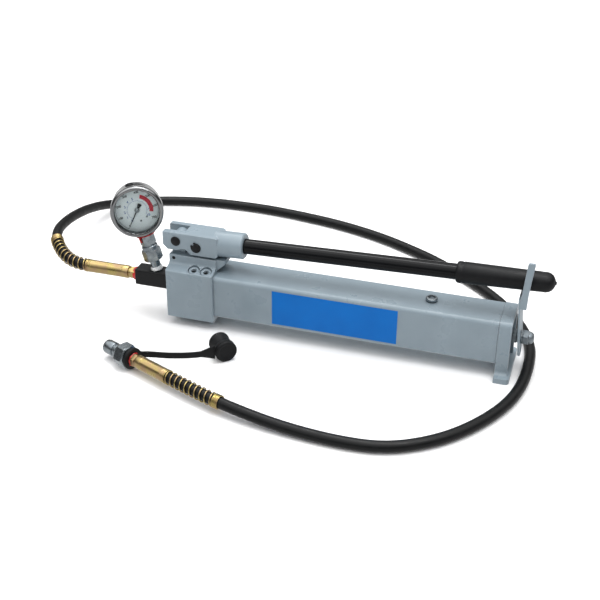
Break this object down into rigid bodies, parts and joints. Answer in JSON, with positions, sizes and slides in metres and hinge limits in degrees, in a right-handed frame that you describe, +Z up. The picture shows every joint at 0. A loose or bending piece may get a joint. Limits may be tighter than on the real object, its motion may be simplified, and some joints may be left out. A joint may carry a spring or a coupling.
{
  "type": "hydraulic hand pump",
  "caption": "Single-acting hydraulic hand pump: head with lever and plunger, long square reservoir, pressure gauge, hose with coupler and dust cap.",
  "frame": {"origin": "on the surface the pump stands on, under the middle of the pump's box without its hose", "axes": "+X from the head to the tail end, +Y to the rear, +Z up"},
  "size_m": [0.7181, 0.5703, 0.1813],
  "materials": {
    "grey_paint": "satin",
    "gloss_black": "gloss",
    "grip_rubber": "matte",
    "hose_cover": "satin",
    "black_oxide": "satin",
    "zinc_plate": "bright",
    "yellow_zinc": "passivated yellow zinc",
    "stainless": "polished",
    "dial_white": "matte",
    "clear_glass": "clear",
    "pointer_black": "matte",
    "label_blue": "gloss film",
    "bare_steel": "ground",
    "filter_brass": "plain",
    "knob_plastic": "matte"
  },
  "bodies": {
    "pump": {"pump_head": "grey_paint", "valve_plugs": "grey_paint", "valve_springs": "bare_steel", "valve_balls": "bare_steel", "rest_pad": "grip_rubber", "pad_screws": "grey_paint", "neck_grub_screw": "grey_paint", "piston_seal": "grip_rubber", "reservoir_tube": "grey_paint", "head_gasket": "grip_rubber", "cap_gasket": "grip_rubber", "reservoir_label": "label_blue", "suction_tube": "bare_steel", "suction_filter": "filter_brass", "end_cap": "grey_paint", "tie_rod": "bare_steel", "jam_nut": "grey_paint", "tie_rod_washer": "zinc_plate", "tie_rod_nut": "zinc_plate", "filler_seal": "grip_rubber", "handle_clip": "grey_paint", "release_gland": "zinc_plate", "gauge_block": "black_oxide", "block_nipple": "zinc_plate", "gauge_adapter": "zinc_plate", "gauge_stem": "zinc_plate", "gauge_case": "stainless", "gauge_bezel": "stainless", "gauge_lens": "clear_glass", "gauge_dial": "dial_white", "gauge_movement": "filter_brass", "bourdon_tube": "filter_brass", "gauge_fill_plug": "grip_rubber", "hose": "hose_cover", "port_guard": "yellow_zinc", "end_guard": "yellow_zinc", "port_fitting": "zinc_plate", "port_ferrule": "yellow_zinc", "end_ferrule": "yellow_zinc", "end_fitting": "zinc_plate", "coupler_body": "zinc_plate", "dust_cap": "grip_rubber", "cap_strap": "grip_rubber"},
    "handle": {"handle_fork": "grey_paint", "handle_tube": "gloss_black", "handle_grip": "grip_rubber", "fulcrum_pin": "black_oxide", "piston_pin": "black_oxide", "retaining_rings": "black_oxide"},
    "plunger": {"piston": "bare_steel"},
    "release": {"release_spindle": "bare_steel", "release_knob": "knob_plastic"},
    "filler": {"filler_plug": "grey_paint"},
    "pointer": {"gauge_pointer": "pointer_black"},
    "poppet": {"coupler_poppet": "zinc_plate"}
  },
  "joints": [
    {"name": "handle_lift", "type": "hinge", "parent": "pump", "child": "handle", "pos_m": [-0.1907, -0.00535, 0.1155], "axis": [0, -1, 0], "range_deg": [0, 45]},
    {"name": "piston_stroke", "type": "slide", "parent": "pump", "child": "plunger", "axis": [0, 0, 1], "range_m": [0, 0.0216]},
    {"name": "release_turn", "type": "hinge", "parent": "pump", "child": "release", "pos_m": [-0.151, -0.00535, 0.04], "axis": [0, 1, 0], "range_deg": [0, 270]},
    {"name": "filler_turn", "type": "hinge", "parent": "pump", "child": "filler", "pos_m": [0.14, -0.00535, 0.0772], "axis": [0, 0, 1], "range_deg": [0, 360]},
    {"name": "pointer_sweep", "type": "hinge", "parent": "pump", "child": "pointer", "pos_m": [-0.25011, -0.00535, 0.14559], "axis": [-0.4285, 0.8957, -0.1188], "range_deg": [0, 270], "stiffness_Nm_per_rad": 0.0005, "springref_deg": -28.65},
    {"name": "poppet_push", "type": "slide", "parent": "pump", "child": "poppet", "axis": [0.9204, -0.3911, 0], "range_m": [0, 0.0025], "stiffness_N_per_m": 600, "springref_m": -0.003}
  ],
  "couplings": [
    {"joint": "piston_stroke", "follows": "handle_lift", "m_per_rad": 0.0273}
  ]
}
